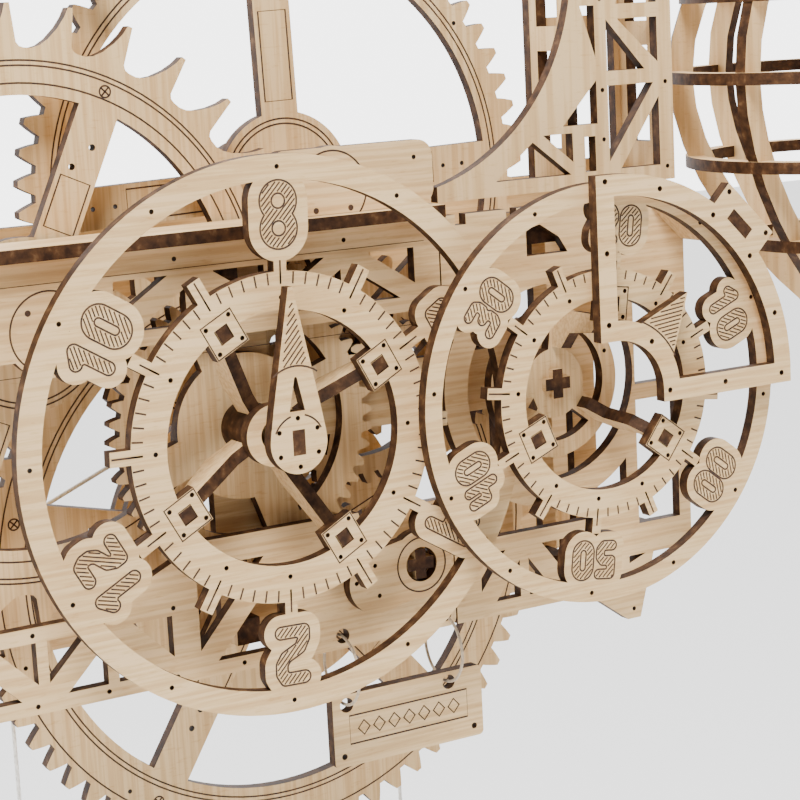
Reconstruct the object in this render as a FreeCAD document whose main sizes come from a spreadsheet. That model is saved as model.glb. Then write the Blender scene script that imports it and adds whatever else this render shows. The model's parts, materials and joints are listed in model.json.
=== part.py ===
import FreeCAD, Part
import math
import os

# Wooden mechanical wall clock, built from 3 mm laser-cut plywood.
#
# Working frame: x to the right, y into the wall, z up, with its zero on the
# axis of the hour dial at the dial's front face.  Every sub-part is placed
# from there so that the finished clock's origin is the mouth of the wall
# hanging hole, on the wall plane.

V = FreeCAD.Vector
doc = FreeCAD.newDocument("wooden_wall_clock")

# ---------------------------------------------------------------- dimensions
SIZES = [
    # alias, value in mm (or a count), meaning
    ("ply", 3.0, "thickness of the plywood sheets"),
    ("wall_plane", 64.0, "back of the clock, from the hour dial's face"),
    ("hang_x", 20.0, "hanging hole, right of the hour axis"),
    ("hang_z", 33.0, "hanging hole, above the hour axis"),
    ("hang_radius", 3.0, "radius of the hanging hole"),
    ("layer_window", -12.0, "front face of the window frame"),
    ("layer_minute", -6.9, "front face of the minute dial"),
    ("layer_hand", -6.4, "front face of the fixed hour hand"),
    ("layer_hour", 0.0, "front face of the hour dial"),
    ("layer_washer", 11.0, "front face of the hour hub washer"),
    ("layer_cover", 12.8, "front face of the winding bearing plate"),
    ("layer_front", 16.0, "front face of the front frame plates"),
    ("layer_hour_gear", 20.2, "front face of the hour gear"),
    ("layer_bridge", 24.5, "front face of the inner bridge"),
    ("layer_escape", 29.5, "front face of the escape wheel"),
    ("layer_motion", 34.0, "front face of the motion wheel"),
    ("layer_centre", 39.0, "front face of the centre wheel"),
    ("layer_great", 44.5, "front face of the great wheel"),
    ("layer_drum", 49.0, "front face of the cord drum"),
    ("layer_back", 61.0, "front face of the back frame"),
    ("minute_x", 82.3, "minute axis, right of the hour axis"),
    ("minute_z", -0.2, "minute axis, above the hour axis"),
    ("centre_x", 24.0, "centre wheel axis"),
    ("centre_z", 52.3, "centre wheel axis"),
    ("great_x", 17.84, "great wheel axis"),
    ("great_z", -35.54, "great wheel axis"),
    ("winding_x", 40.7, "winding axis"),
    ("winding_z", -38.4, "winding axis"),
    ("escape_bearing", 199.0, "direction from centre wheel to escape wheel, degrees"),
    ("great_teeth", 68, "teeth on the great wheel"),
    ("centre_pinion_teeth", 12, "teeth on the centre pinion"),
    ("centre_teeth", 60, "teeth on the centre wheel"),
    ("minute_drive_teeth", 12, "teeth on the minute drive pinion"),
    ("escape_pinion_teeth", 9, "teeth on the escape pinion"),
    ("minute_pinion_teeth", 16, "teeth on the minute pinion"),
    ("motion_teeth", 48, "teeth on the motion wheel"),
    ("motion_pinion_teeth", 12, "teeth on the motion pinion"),
    ("hour_teeth", 48, "teeth on the hour gear"),
    ("hour_module", 1.353, "module of the hour gear and motion pinion"),
    ("motion_module", 1.4535, "module of the motion wheel and minute pinion"),
    ("winding_teeth", 30, "teeth on the winding gear"),
    ("winding_pinion_teeth", 12, "teeth on the winding pinion"),
    ("escape_teeth", 30, "teeth on the escape wheel"),
    ("escape_radius", 70.1, "tip radius of the escape wheel"),
    ("arbor_span", 7.2, "cross-shaped arbor, tip to tip"),
    ("arbor_arm", 2.9, "cross-shaped arbor, width of an arm"),
    ("arbor_gap", 0.05, "gap between an arbor and the hole of its gear"),
    ("bearing_radius", 4.2, "radius of a bearing hole"),
    ("hour_ring", 60.0, "radius of the dot circle of the hour dial"),
    ("minute_ring", 48.03, "radius of the dot circle of the minute dial"),
    ("hour_turn", -1.74, "rotation of the hour dial at rest, degrees"),
    ("minute_turn", -7.57, "rotation of the minute dial at rest, degrees"),
    ("post_width", 5.6, "hour post, tall side"),
    ("sleeve_bore", 3.5, "bore radius of the hour sleeve"),
    ("sleeve_radius", 6.0, "outer radius of the hour sleeve"),
    ("frame_left", -128.0, "left end of the frame"),
    ("frame_right", 124.0, "right end of the frame"),
    ("beam_top", 43.5, "top of the upper beam, under the shelf"),
    ("beam_low", 22.0, "bottom of the upper beam"),
    ("sill_top", -36.3, "top of the lower beam"),
    ("sill_low", -56.0, "bottom of the lower beam"),
    ("shelf_front", 12.0, "front edge of the shelf"),
    ("tower_left", 92.0, "left edge of the tower's shaft"),
    ("tower_right", 122.0, "right edge of the tower"),
    ("tower_top", 128.0, "top of the tower"),
    ("balloon_x", 177.0, "axis of the balloon"),
    ("balloon_y", 8.0, "axis of the balloon"),
    ("balloon_radius", 49.5, "largest radius of the balloon"),
    ("drum_radius", 36.0, "radius of the cord drum"),
    ("cord_radius", 0.5, "radius of the cord"),
    ("pulley_x", -40.0, "guide pulley axis"),
    ("pulley_z", -30.0, "guide pulley axis"),
    ("pulley_radius", 9.0, "groove radius of the guide pulley"),
    ("weight_top", -128.0, "top of the weights at rest"),
    ("bob_depth", 8.0, "thickness of the pendulum bob"),
    ("bob_radius", 15.0, "radius of the pendulum bob"),
    ("pallet_gap", 3.2, "gap between a pallet and the escape wheel's tips, pendulum at rest"),
    ("skin", 1.0, "wood left in front of a closed bearing"),
    ("washer_radius", 7.1, "flange at the front of the hour sleeve"),
]

sheet = doc.addObject("Spreadsheet::Sheet", "Sizes")
for row, (alias, value, meaning) in enumerate(SIZES, start=1):
    sheet.set("A%d" % row, alias)
    sheet.set("B%d" % row, str(value))
    sheet.set("C%d" % row, meaning)
    sheet.setAlias("B%d" % row, alias)
doc.recompute()


class Dimensions:
    """Reads the sheet's cells by their alias."""

    def __getattr__(self, alias):
        return float(sheet.get(alias))


D = Dimensions()
PLY = D.ply
PARTS = []


# ------------------------------------------------------------ flat geometry
# Outlines are drawn in the x-z plane at y = 0 and extruded along +y.
def at(radius, angle, centre=(0.0, 0.0)):
    """Point at a polar position about a centre."""
    a = math.radians(angle)
    return (centre[0] + radius * math.cos(a), centre[1] + radius * math.sin(a))


def flat(point):
    return V(point[0], 0, point[1])


def polygon(points):
    """Face with straight sides, always facing the front like the discs."""
    area = sum(a[0] * b[1] - b[0] * a[1] for a, b in zip(points, points[1:] + points[:1]))
    if area < 0:
        points = points[::-1]
    return Part.Face(Part.makePolygon([flat(p) for p in points] + [flat(points[0])]))


def disc(centre, radius):
    return Part.Face(Part.Wire(Part.makeCircle(radius, flat(centre), V(0, -1, 0))))


def ring(centre, outer, inner):
    return disc(centre, outer).cut(disc(centre, inner))


def box(x0, z0, x1, z1):
    return polygon([(x0, z0), (x1, z0), (x1, z1), (x0, z1)])


def bar(start, end, width):
    """Straight strip of a given width between two points."""
    length = math.hypot(end[0] - start[0], end[1] - start[1])
    ux, uz = (end[0] - start[0]) / length, (end[1] - start[1]) / length
    nx, nz = -uz * width / 2, ux * width / 2
    return polygon([
        (start[0] + nx, start[1] + nz),
        (start[0] - nx, start[1] - nz),
        (end[0] - nx, end[1] - nz),
        (end[0] + nx, end[1] + nz),
    ])


def capsule(start, end, radius):
    """Strip with round ends."""
    pieces = [disc(start, radius), disc(end, radius)]
    if math.dist(start, end) > 1e-6:
        pieces.append(bar(start, end, 2 * radius))
    return union(pieces)


def tilted_box(centre, along, across, angle):
    """Rectangle with its first side turned by an angle."""
    start = at(along / 2, angle + 180, centre)
    return bar(start, at(along / 2, angle, centre), across)


def rounded_box(x0, z0, x1, z1, radius):
    corners = [(x0 + radius, z0 + radius), (x1 - radius, z0 + radius),
               (x1 - radius, z1 - radius), (x0 + radius, z1 - radius)]
    pieces = [disc(c, radius) for c in corners]
    pieces.append(box(x0 + radius, z0, x1 - radius, z1))
    pieces.append(box(x0, z0 + radius, x1, z1 - radius))
    return union(pieces)


def union(faces):
    """One outline from overlapping faces, without the seams between them."""
    fused = faces[0].fuse(faces[1:]) if len(faces) > 1 else faces[0]
    uses = {}
    for face in fused.Faces:
        for edge in face.Edges:
            uses.setdefault(edge.hashCode(), []).append(edge)
    rim = [found[0] for found in uses.values() if len(found) == 1]
    loops = [Part.Wire(edges) for edges in Part.sortEdges(rim)]
    return Part.makeFace(loops, "Part::FaceMakerBullseye")


def minus(face, holes):
    return face.cut(holes) if holes else face


def turned(face, angle, centre=(0.0, 0.0)):
    copy = face.copy()
    copy.rotate(flat(centre), V(0, -1, 0), angle)
    return copy


def moved(face, dx, dz):
    copy = face.copy()
    copy.translate(V(dx, 0, dz))
    return copy


# ------------------------------------------------------------ document parts
def add_plate(name, outline, layer, thickness="Sizes.ply"):
    """Extrude an outline backwards from the named layer."""
    profile = doc.addObject("Part::Feature", name + "_outline")
    profile.Shape = outline
    part = doc.addObject("Part::Extrusion", name)
    part.Base = profile
    part.DirMode = "Custom"
    part.Dir = V(0, 1, 0)
    part.Solid = True
    part.setExpression("LengthFwd", thickness)
    place(part, name, "Sizes.%s" % layer)
    return part


def place(part, name, front="0"):
    """Label a sub-part and move it from the working frame to the clock's frame."""
    part.Label = name
    part.setExpression("Placement.Base.x", "-Sizes.hang_x")
    part.setExpression("Placement.Base.y", "%s - Sizes.wall_plane" % front)
    part.setExpression("Placement.Base.z", "-Sizes.hang_z")
    PARTS.append(part)


def add_solid(name, shape):
    """A sub-part that is no flat plate, made in the working frame."""
    part = doc.addObject("Part::Feature", name)
    part.Shape = Part.makeCompound(shape.Solids)
    place(part, name)
    return part


def radial_plate(outline, angle, centre=(0.0, 0.0)):
    """Plate that stands edge-on in the plane through an axis along y.

    The outline is a list of (radius, y) points.
    """
    points = [V(r, y, -PLY / 2) for r, y in outline]
    solid = Part.Face(Part.makePolygon(points + [points[0]])).extrude(V(0, 0, PLY))
    solid.rotate(V(0, 0, 0), V(0, -1, 0), angle)
    solid.translate(flat(centre))
    return solid


def block(x0, y0, z0, x1, y1, z1):
    return Part.makeBox(x1 - x0, y1 - y0, z1 - z0, V(x0, y0, z0))


def slab(outline, y_front, y_back):
    solid = Part.makeCompound(outline.Faces).extrude(V(0, y_back - y_front, 0))
    solid.translate(V(0, y_front, 0))
    return solid.Solids[0]


# ------------------------------------------------------------------- gearing
PRESSURE_ANGLE = math.radians(25)
ADDENDUM = 0.80
DEDENDUM = 1.10
BACKLASH = 0.16
FLANK_STEPS = 4


def involute(angle):
    return math.tan(angle) - angle


def gear_outline(centre, teeth, module, phase):
    """Involute gear blank; phase is the angle of one tooth's middle, degrees."""
    pitch = teeth * module / 2
    base = pitch * math.cos(PRESSURE_ANGLE)
    tip = pitch + ADDENDUM * module
    root = pitch - DEDENDUM * module
    half_pitch_tooth = math.pi / (2 * teeth) - BACKLASH * module / (2 * pitch)
    flank = []
    start = max(base, root)
    for i in range(FLANK_STEPS + 1):
        radius = start + (tip - start) * i / FLANK_STEPS
        roll = math.acos(min(1.0, base / radius))
        half = half_pitch_tooth + involute(PRESSURE_ANGLE) - involute(roll)
        flank.append((radius, math.degrees(half)))
    if root < base:
        flank.insert(0, (root, flank[0][1]))
    points = []
    for k in range(teeth):
        middle = phase + 360.0 * k / teeth
        points += [at(r, middle - half, centre) for r, half in flank]
        points += [at(r, middle + half, centre) for r, half in reversed(flank)]
    return polygon(points)


def mesh_phase(teeth_a, phase_a, centre_a, teeth_b, centre_b):
    """Phase that puts a gap of gear b opposite a tooth of gear a."""
    bearing = math.degrees(math.atan2(centre_b[1] - centre_a[1], centre_b[0] - centre_a[0]))
    turns = (bearing - phase_a) * teeth_a / 360.0
    return bearing + 180 - (0.5 - turns) * 360.0 / teeth_b


def cross(centre, gap=0.0):
    """Section of a cross-shaped arbor."""
    s = D.arbor_span / 2 + gap
    a = D.arbor_arm / 2 + gap
    x, z = centre
    corners = [(a, a), (a, s), (-a, s), (-a, a), (-s, a), (-s, -a),
               (-a, -a), (-a, -s), (a, -s), (a, -a), (s, -a), (s, a)]
    return polygon([(x + dx, z + dz) for dx, dz in corners])


def add_arbor(name, centre, y_front, y_back):
    solid = cross(centre).extrude(V(0, y_back - y_front, 0))
    solid.translate(V(0, y_front, 0))
    return add_solid(name, solid)


def spoke_windows(centre, inner, outer, count, first, spoke):
    """Windows between the spokes of a wheel, with parallel spoke sides."""
    annulus = ring(centre, outer, inner)
    strips = [bar(centre, at(outer + 5, first + 360.0 * k / count, centre), spoke)
              for k in range(count)]
    return annulus.cut(strips)


# ------------------------------------------------------------- axis positions
HOUR = (0.0, 0.0)
MINUTE = (D.minute_x, D.minute_z)
CENTRE = (D.centre_x, D.centre_z)
GREAT = (D.great_x, D.great_z)
WINDING = (D.winding_x, D.winding_z)
centre_module = 2 * math.dist(CENTRE, MINUTE) / (D.centre_teeth + D.minute_drive_teeth)
great_module = 2 * math.dist(CENTRE, GREAT) / (D.great_teeth + D.centre_pinion_teeth)
winding_module = 2 * math.dist(GREAT, WINDING) / (D.winding_teeth + D.winding_pinion_teeth)
escape_distance = centre_module * (D.centre_teeth + D.escape_pinion_teeth) / 2
ESCAPE = at(escape_distance, D.escape_bearing, CENTRE)


def crossing(c1, r1, c2, r2):
    """Upper crossing point of two circles."""
    gap = math.dist(c1, c2)
    ux, uz = (c2[0] - c1[0]) / gap, (c2[1] - c1[1]) / gap
    along = (r1 * r1 - r2 * r2 + gap * gap) / (2 * gap)
    up = math.sqrt(r1 * r1 - along * along)
    return (c1[0] + along * ux - up * uz, c1[1] + along * uz + up * ux)


hour_distance = D.hour_module * (D.hour_teeth + D.motion_pinion_teeth) / 2
motion_distance = D.motion_module * (D.motion_teeth + D.minute_pinion_teeth) / 2
MOTION = crossing(HOUR, hour_distance, MINUTE, motion_distance)

great_phase = 3.0
centre_pinion_phase = mesh_phase(D.great_teeth, great_phase, GREAT,
                                 D.centre_pinion_teeth, CENTRE)
centre_phase = 1.0
escape_pinion_phase = mesh_phase(D.centre_teeth, centre_phase, CENTRE,
                                 D.escape_pinion_teeth, ESCAPE)
minute_drive_phase = mesh_phase(D.centre_teeth, centre_phase, CENTRE,
                                D.minute_drive_teeth, MINUTE)
minute_pinion_phase = 0.0
motion_phase = mesh_phase(D.minute_pinion_teeth, minute_pinion_phase, MINUTE,
                          D.motion_teeth, MOTION)
motion_pinion_phase = 0.0
hour_phase = mesh_phase(D.motion_pinion_teeth, motion_pinion_phase, MOTION,
                        D.hour_teeth, HOUR)
winding_phase = 0.0
winding_pinion_phase = mesh_phase(D.winding_teeth, winding_phase, GREAT,
                                  D.winding_pinion_teeth, WINDING)


def add_pinion(name, centre, teeth, module, phase, layer):
    outline = gear_outline(centre, int(teeth), module, phase)
    return add_plate(name, minus(outline, [cross(centre, D.arbor_gap)]), layer)


# --------------------------------------------------------------------- dials
STROKES = {
    # centre lines of the numerals, across and up, in tenths of the height
    "0": [(0.0, 3.2), (0.0, 6.8)],
    "1": [(-1.6, 7.2), (0.4, 8.7), (0.4, 1.3)],
    "2": [(-1.9, 8.6), (1.3, 8.6), (1.9, 7.6), (1.9, 6.3), (1.2, 5.2), (-1.2, 4.0),
          (-1.9, 2.6), (-1.9, 1.4), (1.9, 1.4)],
    "3": [(-1.8, 8.6), (1.2, 8.6), (1.8, 7.6), (1.8, 6.2), (0.9, 5.1), (-0.3, 5.0),
          (0.9, 4.9), (1.8, 3.8), (1.8, 2.4), (1.2, 1.4), (-1.8, 1.4)],
    "4": [(-1.6, 8.6), (-1.6, 4.4), (1.6, 4.4), (1.6, 8.6), (1.6, 1.3)],
    "5": [(1.9, 8.6), (-1.7, 8.6), (-1.7, 5.2), (0.8, 5.2), (1.7, 4.2), (1.7, 2.4),
          (0.8, 1.4), (-1.8, 1.4)],
    "6": [(1.4, 8.5), (-1.6, 4.5), (-1.4, 2.2), (1.4, 2.2), (1.5, 4.6)],
    "8": [(0.0, 3.0), (0.0, 7.0)],
}
ROUND_NUMERAL = {"8": 0.0757, "0": 0.0643}
STROKE_HALF = 0.0243
PAD_MARGIN = 0.0457


def numeral_pad(text, size):
    """Pads that carry a number's digits, drawn upright with the top outwards.

    size is the dial's dot circle; a lone digit is taller than a pair.
    """
    height = size * (0.251 if len(text) == 1 else 0.2)
    middle = size * (0.826 if len(text) == 1 else 0.834)
    pitch = size * 0.137
    pads = []
    for i, digit in enumerate(text):
        across = (i - (len(text) - 1) / 2) * pitch
        radius = size * (ROUND_NUMERAL.get(digit, STROKE_HALF) + PAD_MARGIN)
        points = [(across + sx * height / 10, middle - height / 2 + sz * height / 10)
                  for sx, sz in STROKES[digit]]
        for a, b in zip(points, points[1:]):
            pads.append(capsule(a, b, radius))
    if len(text) > 1:
        pads.append(bar((-pitch / 2, middle), (pitch / 2, middle), height * 0.75))
    return union(pads)


def dial_outline(size, numbers, lug_angles, lug_size, lug_hole, turn):
    """Dial plate: outer ring, inner ring, numbered spokes and square lugs.

    size is the radius of the dot circle; the other radii are fractions of it.
    """
    solid = [ring(HOUR, size * 1.0464, size * 0.9536),
             ring(HOUR, size * 0.62, size * 0.4786)]
    holes = []
    for k, text in enumerate(numbers):
        angle = 90 + 60 * k
        pad = numeral_pad(text, size)
        solid.append(turned(pad, angle - 90))
        solid.append(bar(at(size * 0.60, angle), at(size * 0.70, angle), size * 0.0514))
        stub = angle + 30
        solid.append(bar(at(size * 0.60, stub), at(size * 0.701, stub), size * 0.0557))
    for angle in lug_angles:
        middle = at(size * lug_size[1], angle)
        solid.append(tilted_box(middle, lug_size[0], lug_size[0], angle))
        holes.append(tilted_box(middle, lug_hole, lug_hole, angle))
        for sx in (-1, 1):
            for sz in (-1, 1):
                corner = at(size * lug_size[1] + sx * lug_size[0] * 0.36, angle)
                corner = at(sz * lug_size[0] * 0.36, angle + 90, corner)
                holes.append(disc(corner, DOT))
    for k in range(12):
        holes.append(disc(at(size, 30 * k), DOT))
        if all(abs((30 * k - a + 180) % 360 - 180) > 12 for a in lug_angles):
            holes.append(disc(at(size * 0.5237, 30 * k), DOT))
    outline = union(solid).cut(holes)
    return turned(outline, turn)


DOT = 0.55
hour_lugs = [30, 120, 210, 300]
minute_lugs = [90, 210, 330]
hour_outline = dial_outline(D.hour_ring, ["8", "10", "12", "2", "4", "6"], hour_lugs,
                            (8.8, 0.4706), 3.6, D.hour_turn)
add_plate("hour_dial", hour_outline, "layer_hour")
minute_outline = dial_outline(D.minute_ring, ["20", "30", "40", "50", "00", "10"],
                              minute_lugs, (8.6, 0.4474), 3.5, D.minute_turn)
add_plate("minute_dial", moved(minute_outline, *MINUTE), "layer_minute")


# ------------------------------------------------- hour dial, hub and gearing
# An arm's outline is a list of (radius, y) points: a tenon in a lug of the
# dial, then a strip that slants back to the hub.
hour_lug = D.hour_ring * 0.4706
hour_arm = [
    (hour_lug - 1.7, 0.0), (hour_lug + 1.7, 0.0), (hour_lug + 1.7, PLY),
    (hour_lug + 2.8, PLY), (hour_lug + 2.8, PLY + 2.2), (14.0, 15.0), (6.1, 15.0),
    (6.1, 8.2), (10.0, 8.2), (hour_lug - 4.2, PLY), (hour_lug - 1.7, PLY)]
arms = [radial_plate(hour_arm, a + D.hour_turn) for a in hour_lugs]
add_solid("hour_dial_arms", Part.makeCompound(arms))

sleeve_front = D.layer_washer - 3.0
washer = slab(ring(HOUR, D.washer_radius, D.sleeve_bore), sleeve_front - PLY, sleeve_front)
sleeve = slab(ring(HOUR, D.sleeve_radius, D.sleeve_bore), sleeve_front, D.layer_hour_gear + PLY)
add_solid("hour_sleeve", sleeve.fuse(washer))

hour_blank = gear_outline(HOUR, int(D.hour_teeth), D.hour_module, hour_phase)
hour_slots = ring(HOUR, 25.5, 17.0).cut([bar((0, 0), at(30, a), 9.0) for a in (20, 110, 200, 290)])
hour_blank = minus(hour_blank, [disc(HOUR, D.sleeve_radius + D.arbor_gap)] + hour_slots.Faces)
add_plate("hour_gear", hour_blank, "layer_hour_gear")

# The post that carries the fixed hour hand runs through the sleeve.
post_w, post_t = D.post_width / 2, PLY / 2
post_face = box(-post_t, -post_w, post_t, post_w)
post = post_face.extrude(V(0, D.layer_bridge + PLY - D.layer_hand, 0))
post.translate(V(0, D.layer_hand, 0))
add_solid("hour_post", post)

hand_tip = 34.3
hand = union([disc(HOUR, 7.0), polygon([(-5.75, 8.0), (-0.55, hand_tip), (0.55, hand_tip), (5.75, 8.0),
                                        (6.9, 1.5), (-6.9, 1.5)])])
hand_slit = union([polygon([(-1.9, 7.0), (-0.35, 14.2), (0.35, 14.2), (1.9, 7.0)]), disc((0, 14.2), 0.35)])
dots = [disc(at(5.43, 30 + 60 * k), DOT) for k in range(6)]
hand_hole = box(-post_t - 0.05, -post_w - 0.05, post_t + 0.05, post_w + 0.05)
add_plate("hour_hand", minus(hand, [hand_slit, hand_hole] + dots), "layer_hand")

# ---------------------------------------------------- minute dial and its arms
minute_lug = D.minute_ring * 0.4474
front = D.layer_minute
minute_arm = [
    (minute_lug - 1.7, front), (minute_lug + 1.7, front), (minute_lug + 1.7, front + PLY),
    (minute_lug + 2.6, front + PLY), (minute_lug + 2.6, -2.6), (18.4, -0.8), (18.4, 8.0),
    (15.8, 14.8), (9.0, 14.8), (9.0, 11.0), (13.0, 8.0), (14.0, -1.0),
    (minute_lug - 4.2, front + PLY), (minute_lug - 1.7, front + PLY)]
arms = [radial_plate(minute_arm, a + D.minute_turn, MINUTE) for a in minute_lugs]
add_solid("minute_dial_arms", Part.makeCompound(arms))

hub_spokes = [bar(MINUTE, at(18.0, a + D.minute_turn, MINUTE), 5.0) for a in minute_lugs]
hub = union([ring(MINUTE, 18.5, 14.5), disc(MINUTE, 8.6)] + hub_spokes)
hub_dots = [disc(at(16.5, 60 * k + 22, MINUTE), DOT) for k in range(6)]
hub_plate = add_plate("minute_hub", minus(hub, [cross(MINUTE, D.arbor_gap)] + hub_dots), "layer_minute")
hub_plate.setExpression("Placement.Base.y", "Sizes.layer_minute + 21.8 - Sizes.wall_plane")

minute_front = D.layer_minute + 20.2
add_arbor("minute_arbor", MINUTE, minute_front, D.layer_centre + PLY + 1.0)
add_pinion("minute_pinion", MINUTE, D.minute_pinion_teeth, D.motion_module,
           minute_pinion_phase, "layer_motion")
add_pinion("minute_drive_pinion", MINUTE, D.minute_drive_teeth, centre_module,
           minute_drive_phase, "layer_centre")

# -------------------------------------------------- motion work, centre, escape
motion = gear_outline(MOTION, int(D.motion_teeth), D.motion_module, motion_phase)
motion_windows = spoke_windows(MOTION, 9.0, 29.0, 5, 40, 6.0)
motion = minus(motion, [cross(MOTION, D.arbor_gap)] + motion_windows.Faces)
add_plate("motion_wheel", motion, "layer_motion")
add_pinion("motion_pinion", MOTION, D.motion_pinion_teeth, D.hour_module,
           motion_pinion_phase, "layer_hour_gear")
add_arbor("motion_arbor", MOTION, D.layer_front - 1.0, D.layer_motion + PLY + 1.0)

centre_tip = centre_module * D.centre_teeth / 2
centre = gear_outline(CENTRE, int(D.centre_teeth), centre_module, centre_phase)
centre_windows = spoke_windows(CENTRE, 17.5, centre_tip - 9.0, 4, 1.5, 9.6)
centre_dots = [disc(at(r, 1.5 + 90 * k, CENTRE), DOT) for k in range(4) for r in (44.0, 49.5)]
centre_dots += [disc(at(centre_tip - 4.8, 36 + 90 * k, CENTRE), DOT) for k in range(4)]
centre = minus(centre, [cross(CENTRE, D.arbor_gap)] + centre_windows.Faces + centre_dots)
add_plate("centre_wheel", centre, "layer_centre")
add_pinion("centre_pinion", CENTRE, D.centre_pinion_teeth, great_module,
           centre_pinion_phase, "layer_great")
add_arbor("centre_arbor", CENTRE, D.layer_front + D.skin + 0.2, D.layer_back + PLY)


def escape_outline():
    """Escape wheel: steep leading side to the right, hollow back to the left."""
    points = []
    step = 360.0 / D.escape_teeth
    tip = D.escape_radius
    first = 64.8
    back = [(2.2, 0.95), (4.7, 2.0), (7.4, 3.8), (9.0, 5.6), (9.6, 7.2), (9.6, 8.9)]
    for k in range(int(D.escape_teeth)):
        angle = first + k * step
        points.append(at(tip - 9.3, angle - 2.1, ESCAPE))
        points.append(at(tip - 8.4, angle - 1.45, ESCAPE))
        points.append(at(tip, angle - 0.45, ESCAPE))
        points.append(at(tip, angle + 0.45, ESCAPE))
        for drop, turn in back:
            points.append(at(tip - drop, angle + turn, ESCAPE))
    return polygon(points)


escape_windows = spoke_windows(ESCAPE, 19.5, 50.3, 4, 65.5, 9.7)
escape_dots = [disc(at(r, 65.5 + 90 * k + a, ESCAPE), 0.75) for k in range(4)
               for r, a in ((42.0, -1.8), (36.4, 2.8))]
escape = minus(escape_outline(), [cross(ESCAPE, D.arbor_gap)] + escape_windows.Faces + escape_dots)
add_plate("escape_wheel", escape, "layer_escape")
add_pinion("escape_pinion", ESCAPE, D.escape_pinion_teeth, centre_module,
           escape_pinion_phase, "layer_centre")
add_arbor("escape_arbor", ESCAPE, D.layer_front + D.skin + 0.2, D.layer_back + PLY)

# ------------------------------------------------- great wheel, drum, winding
great_pitch = great_module * D.great_teeth / 2
great = gear_outline(GREAT, int(D.great_teeth), great_module, great_phase)
great_windows = spoke_windows(GREAT, 17.0, great_pitch - 13.5, 5, -121.5, 10.0)
great_dots = [disc(at(r, -121.5 + 72 * k, GREAT), 0.75) for k in range(5) for r in (44.0, 49.0)]
great_dots += [disc(at(great_pitch - 6.0, -128.5 + 36 * k, GREAT), DOT) for k in range(10)]
great = minus(great, [cross(GREAT, D.arbor_gap)] + great_windows.Faces + great_dots)
add_plate("great_wheel", great, "layer_great")
add_arbor("great_arbor", GREAT, D.layer_front - 2.0, D.layer_back + PLY)

drum_y = D.layer_drum
barrel = ring(GREAT, D.drum_radius, D.drum_radius - 3.0)
flange_cut = spoke_windows(GREAT, 12.0, D.drum_radius - 5.0, 5, -121.5, 10.0).Faces
flange = minus(disc(GREAT, D.drum_radius + 3.0), [cross(GREAT, D.arbor_gap)] + flange_cut)
drum = slab(flange, drum_y, drum_y + 2.5).fuse([
    slab(barrel, drum_y + 2.5, drum_y + 6.5), slab(flange, drum_y + 6.5, drum_y + 9.0)])
add_solid("cord_drum", drum)

winding = gear_outline(GREAT, int(D.winding_teeth), winding_module, winding_phase)
add_plate("winding_gear", minus(winding, [cross(GREAT, D.arbor_gap)]), "layer_escape")
add_pinion("winding_pinion", WINDING, D.winding_pinion_teeth, winding_module,
           winding_pinion_phase, "layer_escape")
add_arbor("winding_arbor", WINDING, D.layer_cover + 0.4, D.layer_escape + PLY + 1.0)

# ------------------------------------------------------------ anchor, pendulum
anchor_half = 42.0
anchor_bearing = 114.0
anchor_distance = (D.escape_radius + 0.6) / math.cos(math.radians(anchor_half))
ANCHOR = at(anchor_distance, anchor_bearing, ESCAPE)
PALLET_RADIUS = 2.4
ANCHOR_ARM = 8.0
pallet_reach = D.escape_radius + D.pallet_gap + PALLET_RADIUS
anchor_shapes = [disc(ANCHOR, 9.0)]
for side in (-1, 1):
    knee = at(D.escape_radius + 14.0, anchor_bearing + side * (anchor_half - 3), ESCAPE)
    pallet = at(pallet_reach, anchor_bearing + side * anchor_half, ESCAPE)
    anchor_shapes += [bar(ANCHOR, knee, ANCHOR_ARM), capsule(knee, pallet, PALLET_RADIUS)]
anchor = union(anchor_shapes)
add_plate("anchor", minus(anchor, [cross(ANCHOR, D.arbor_gap)]), "layer_escape")
add_arbor("anchor_arbor", ANCHOR, D.layer_bridge - PLY - 1.0, D.layer_back + PLY)

# The pendulum leans a little, so that with the lopsided anchor on the same
# arbor the centre of mass of the whole lies straight under the pivot.
bob_z = -85.0
bob_centre = (ANCHOR[0], bob_z)
rod = union([disc(ANCHOR, 8.0), bar(ANCHOR, (ANCHOR[0], bob_z - 12.0), 6.0)])
bob = minus(disc(bob_centre, D.bob_radius),
            [disc(at(D.bob_radius - 3.0, 30 + 60 * k, bob_centre), DOT) for k in range(6)])


def side_moment(face, depth):
    return face.Area * depth * (face.CenterOfMass.x - ANCHOR[0])


def hang_moment(face, depth):
    return face.Area * depth * (ANCHOR[1] - face.CenterOfMass.z)


hang = hang_moment(rod, PLY) + hang_moment(bob, D.bob_depth)
pendulum_lean = -math.degrees(math.asin(side_moment(anchor, PLY) / hang))
rod = turned(rod, pendulum_lean, ANCHOR)
bob = turned(bob, pendulum_lean, ANCHOR)
rod = minus(rod, [cross(ANCHOR, D.arbor_gap)])
add_plate("pendulum_rod", rod, "layer_drum")
bob_plate = add_plate("pendulum_bob", bob, "layer_drum", "Sizes.bob_depth")
bob_plate.setExpression("Placement.Base.y", "Sizes.layer_drum + Sizes.ply - Sizes.wall_plane")

# ------------------------------------------------------------------ the frame
def bearing_holes(*centres):
    return [disc(c, D.bearing_radius) for c in centres]


def closed_bearing(centre):
    """Pocket for an arbor's end, cut from behind into a front plate."""
    return slab(disc(centre, D.bearing_radius), D.layer_front + D.skin, D.layer_front + PLY)


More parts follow.
